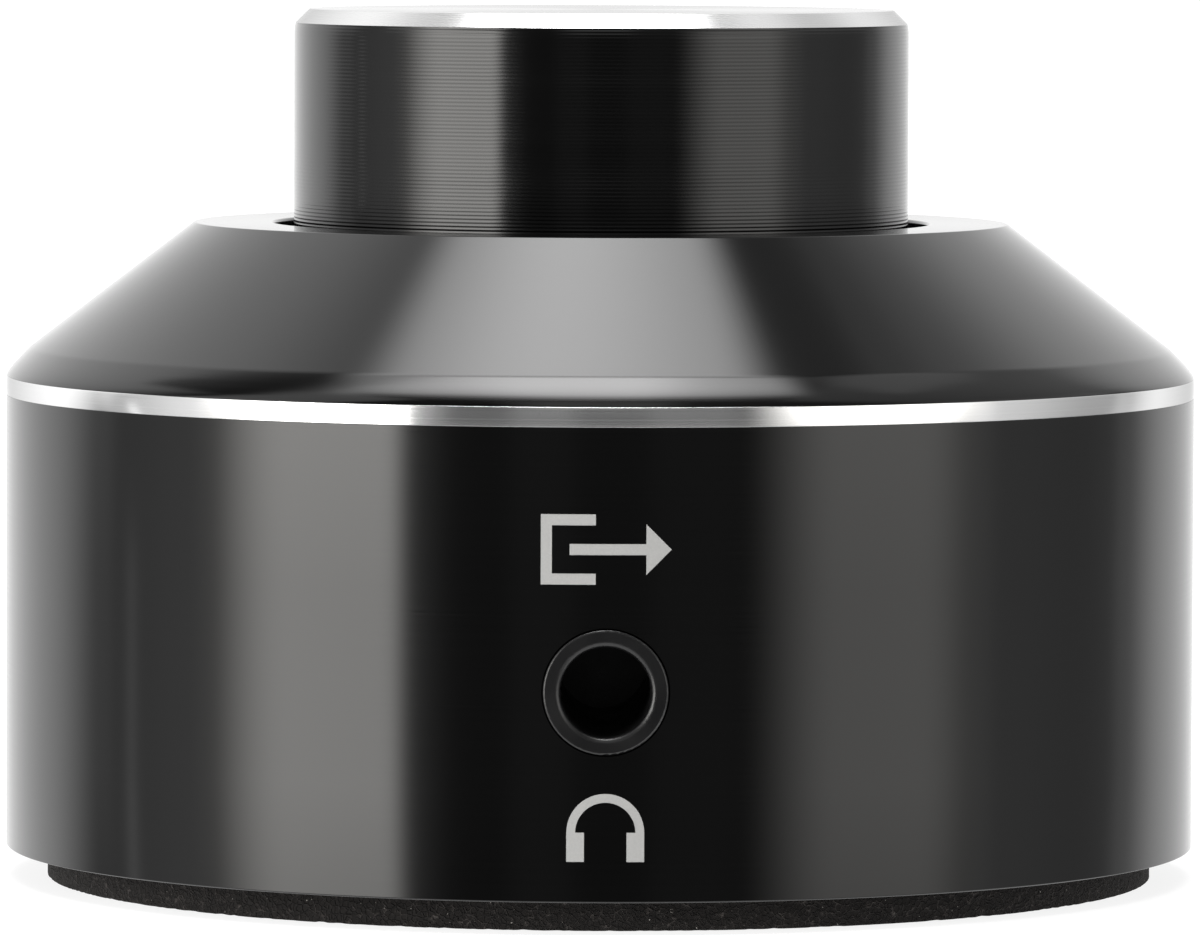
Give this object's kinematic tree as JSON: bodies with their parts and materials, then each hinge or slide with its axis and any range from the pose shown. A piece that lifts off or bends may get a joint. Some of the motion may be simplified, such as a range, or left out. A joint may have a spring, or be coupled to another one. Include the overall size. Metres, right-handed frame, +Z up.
{
  "type": "volume control knob",
  "caption": "Round desk-top volume control: a turned metal knob sits in the recessed flat top of a conical, ring-trimmed metal case with plug sockets in its wall and a foam pad beneath.",
  "frame": {"origin": "centre of the foam pad's underside, on the surface that the object stands on", "axes": "+Z up along the knob's axis, -Y towards the front, where the output socket is"},
  "size_m": [0.05, 0.0502, 0.0364],
  "materials": {
    "black_anodised": "fine turned, black anodised",
    "polished_ring": "polished",
    "foam": "open-cell black foam",
    "socket_plastic": "moulded",
    "contact_metal": "nickel plated",
    "steel": "zinc plated",
    "brass": "turned",
    "shaft_metal": "turned",
    "pot_plastic": "moulded",
    "rotor_plastic": "moulded",
    "wafer": "phenolic paper",
    "board": "solder mask"
  },
  "bodies": {
    "case": {"foam_pad": "foam", "base_plate": "black_anodised", "base_screws": "steel", "cover_standoffs": "brass", "lower_body": "black_anodised", "trim_ring": "polished_ring", "top_cover": "black_anodised", "pot_bushing": "brass", "pot_washer": "steel", "pot_nut": "steel", "pot_frame": "steel", "upper_pot_deck": "pot_plastic", "lower_pot_deck": "pot_plastic", "upper_track_wafer": "wafer", "lower_track_wafer": "wafer", "pot_terminals": "contact_metal", "main_board": "board", "input_board": "board", "board_links": "contact_metal", "output_jack_housing": "socket_plastic", "output_jack_contacts": "contact_metal", "input_jack_housing": "socket_plastic", "input_jack_contacts": "contact_metal"},
    "knob_and_shaft": {"knob": "black_anodised", "knob_insert": "rotor_plastic", "knob_spring": "steel", "pot_shaft": "shaft_metal", "shaft_clip": "steel", "upper_pot_rotor": "rotor_plastic", "lower_pot_rotor": "rotor_plastic", "upper_wiper": "contact_metal", "lower_wiper": "contact_metal"}
  },
  "joints": [
    {"name": "volume_turn", "type": "hinge", "parent": "case", "child": "knob_and_shaft", "pos_m": [0, 0, 0.0231], "axis": [0, 0, 1], "range_deg": [-150, 150]}
  ]
}
